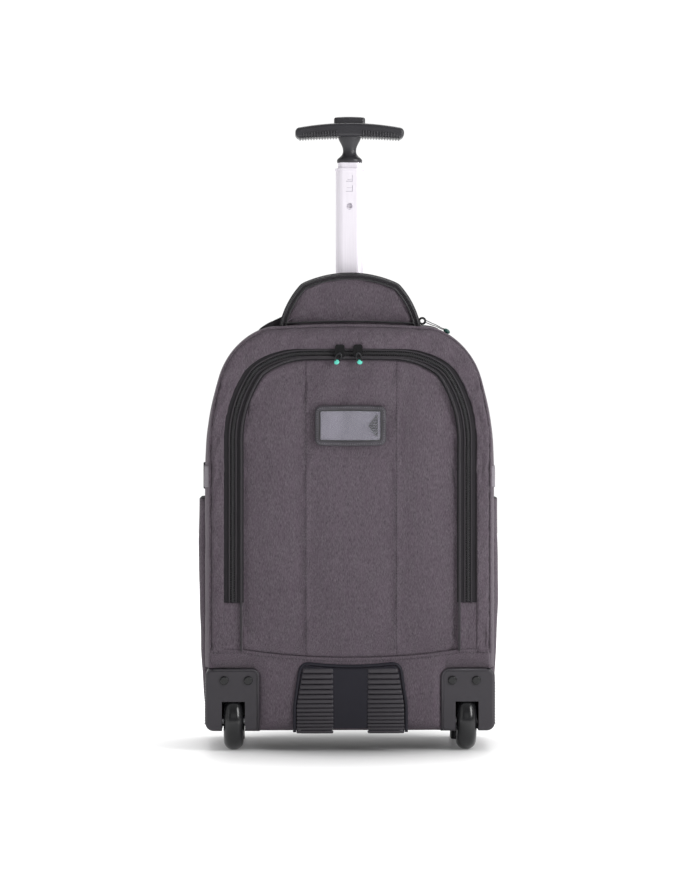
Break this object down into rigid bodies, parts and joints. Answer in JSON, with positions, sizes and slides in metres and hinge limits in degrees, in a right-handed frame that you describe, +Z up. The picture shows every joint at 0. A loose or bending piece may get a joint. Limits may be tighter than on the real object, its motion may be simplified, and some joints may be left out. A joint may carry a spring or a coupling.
{
  "type": "wheeled laptop case",
  "caption": "Upright padded fabric laptop case with rear wheels, a single-pole telescopic T handle, zipped front panel, hood and card holder.",
  "frame": {"origin": "on the floor at the centre of the overall box", "axes": "+Z up, +X to the right of someone facing the wheels, -Y the face with the wheels"},
  "size_m": [0.3272, 0.222, 0.6902],
  "materials": {
    "shell_fabric": "woven melange polyester",
    "lining_fabric": "plain lining",
    "zip_tape": "woven zip tape and coil",
    "webbing": "woven webbing",
    "leatherette": "fine grained",
    "moulded_plastic": "fine spark texture",
    "grip_plastic": "satin",
    "board": "extruded board",
    "tube_aluminium": "satin anodised",
    "steel": "turned",
    "zip_metal": "black enamel",
    "pull_plastic": "moulded",
    "tyre_rubber": "smooth polyurethane",
    "foot_rubber": "matt",
    "card": "satin card",
    "window": "clear film"
  },
  "bodies": {
    "case": {"main_gusset": "shell_fabric", "base_tray": "board", "back_board": "board", "front_wall": "lining_fabric", "front_pocket_gusset": "shell_fabric", "front_frame": "shell_fabric", "front_zip_outer_tape": "zip_tape", "lower_band": "shell_fabric", "skid_plate": "moulded_plastic", "skid_ribs": "moulded_plastic", "skid_piping": "zip_tape", "wheel_housing_left": "moulded_plastic", "wheel_housing_right": "moulded_plastic", "rivets": "zip_metal", "wheel_axles": "steel", "rear_feet": "foot_rubber", "trolley_outer_tube": "tube_aluminium", "tube_foot_bracket": "board", "tube_bezel": "moulded_plastic", "hood_rear_tape": "zip_tape", "side_pockets": "shell_fabric", "side_straps": "webbing", "strap_buckles": "moulded_plastic", "grab_handle": "shell_fabric", "laptop_divider": "lining_fabric"},
    "front_flap": {"front_flap": "shell_fabric", "front_zip_inner_tape": "zip_tape", "id_holder_frame": "leatherette", "id_window": "window"},
    "id_card": {"id_card": "card"},
    "hood": {"hood_panel": "shell_fabric", "hood_zip_tape": "zip_tape", "hood_slider": "zip_metal"},
    "hood_pull": {"hood_pull": "pull_plastic"},
    "stage_1": {"stage_1_tube": "tube_aluminium", "stage_1_collar": "tube_aluminium", "stage_1_plug": "moulded_plastic"},
    "stage_2": {"stage_2_tube": "tube_aluminium", "stage_2_plug": "moulded_plastic", "grip_neck": "grip_plastic", "grip_bar": "grip_plastic", "button_spring": "steel"},
    "grip_button": {"grip_button": "grip_plastic", "push_rod": "steel"},
    "lock_pin_upper": {"lock_pin_upper": "steel"},
    "lock_pin_lower": {"lock_pin_lower": "steel"},
    "main_lid": {"main_lid": "shell_fabric", "far_pocket": "shell_fabric"},
    "wheel_left": {"tyre_left": "tyre_rubber", "hub_left": "moulded_plastic"},
    "front_slider_left": {"front_slider_left": "zip_metal"},
    "front_pull_left": {"front_pull_left": "pull_plastic"},
    "main_slider_left": {"main_slider_left": "zip_metal"},
    "main_pull_left": {"main_pull_left": "pull_plastic"},
    "wheel_right": {"tyre_right": "tyre_rubber", "hub_right": "moulded_plastic"},
    "front_slider_right": {"front_slider_right": "zip_metal"},
    "front_pull_right": {"front_pull_right": "pull_plastic"},
    "main_slider_right": {"main_slider_right": "zip_metal"},
    "main_pull_right": {"main_pull_right": "pull_plastic"}
  },
  "joints": [
    {"name": "handle_stage_1", "type": "slide", "parent": "case", "child": "stage_1", "axis": [0, 0, 1], "range_m": [-0.164, 0.11]},
    {"name": "handle_stage_2", "type": "slide", "parent": "stage_1", "child": "stage_2", "axis": [0, 0, 1], "range_m": [0, 0.235]},
    {"name": "grip_button_press", "type": "slide", "parent": "stage_2", "child": "grip_button", "axis": [0, 0, -1], "range_m": [0, 0.004], "stiffness_N_per_m": 700, "springref_m": -0.004, "deforming": ["button_spring"]},
    {"name": "lock_pin_upper_slide", "type": "slide", "parent": "stage_2", "child": "lock_pin_upper", "axis": [0, 1, 0], "range_m": [0, 0.002]},
    {"name": "lock_pin_lower_slide", "type": "slide", "parent": "stage_1", "child": "lock_pin_lower", "axis": [0, 1, 0], "range_m": [0, 0.002]},
    {"name": "front_flap_hinge", "type": "hinge", "parent": "case", "child": "front_flap", "pos_m": [0, -0.1045, 0.113], "axis": [1, 0, 0], "range_deg": [0, 110]},
    {"name": "id_card_slide", "type": "slide", "parent": "front_flap", "child": "id_card", "axis": [1, 0, 0], "range_m": [0, 0.06]},
    {"name": "hood_hinge", "type": "hinge", "parent": "case", "child": "hood", "pos_m": [0, -0.0858, 0.4606], "axis": [1, 0, 0], "range_deg": [0, 88]},
    {"name": "hood_pull_swing", "type": "hinge", "parent": "hood", "child": "hood_pull", "pos_m": [0.0786, -0.0873, 0.4666], "axis": [0, -1, 0], "range_deg": [0, 80]},
    {"name": "main_lid_hinge", "type": "hinge", "parent": "case", "child": "main_lid", "pos_m": [0, 0.079, 0.04], "axis": [-1, 0, 0], "range_deg": [0, 90]},
    {"name": "wheel_left_spin", "type": "hinge", "parent": "case", "child": "wheel_left", "pos_m": [-0.1265, -0.0725, 0.032], "axis": [1, 0, 0], "continuous": true},
    {"name": "front_slider_left_run", "type": "slide", "parent": "front_flap", "child": "front_slider_left", "axis": [-1, 0, 0], "range_m": [0, 0.045]},
    {"name": "front_pull_left_swing", "type": "hinge", "parent": "front_slider_left", "child": "front_pull_left", "pos_m": [-0.0115, -0.1099, 0.4269], "axis": [-1, 0, 0], "range_deg": [0, 120]},
    {"name": "main_slider_left_run", "type": "slide", "parent": "main_lid", "child": "main_slider_left", "axis": [-1, 0, 0], "range_m": [0, 0.045]},
    {"name": "main_pull_left_swing", "type": "hinge", "parent": "main_slider_left", "child": "main_pull_left", "pos_m": [-0.009, 0.0834, 0.4439], "axis": [1, 0, 0], "range_deg": [0, 120]},
    {"name": "wheel_right_spin", "type": "hinge", "parent": "case", "child": "wheel_right", "pos_m": [0.1265, -0.0725, 0.032], "axis": [1, 0, 0], "continuous": true},
    {"name": "front_slider_right_run", "type": "slide", "parent": "front_flap", "child": "front_slider_right", "axis": [1, 0, 0], "range_m": [0, 0.045]},
    {"name": "front_pull_right_swing", "type": "hinge", "parent": "front_slider_right", "child": "front_pull_right", "pos_m": [0.008, -0.1099, 0.4269], "axis": [-1, 0, 0], "range_deg": [0, 120]},
    {"name": "main_slider_right_run", "type": "slide", "parent": "main_lid", "child": "main_slider_right", "axis": [1, 0, 0], "range_m": [0, 0.045]},
    {"name": "main_pull_right_swing", "type": "hinge", "parent": "main_slider_right", "child": "main_pull_right", "pos_m": [0.009, 0.0834, 0.4439], "axis": [1, 0, 0], "range_deg": [0, 120]}
  ],
  "couplings": [
    {"joint": "lock_pin_upper_slide", "follows": "grip_button_press", "ratio": 0.5},
    {"joint": "lock_pin_lower_slide", "follows": "grip_button_press", "ratio": 0.5}
  ]
}
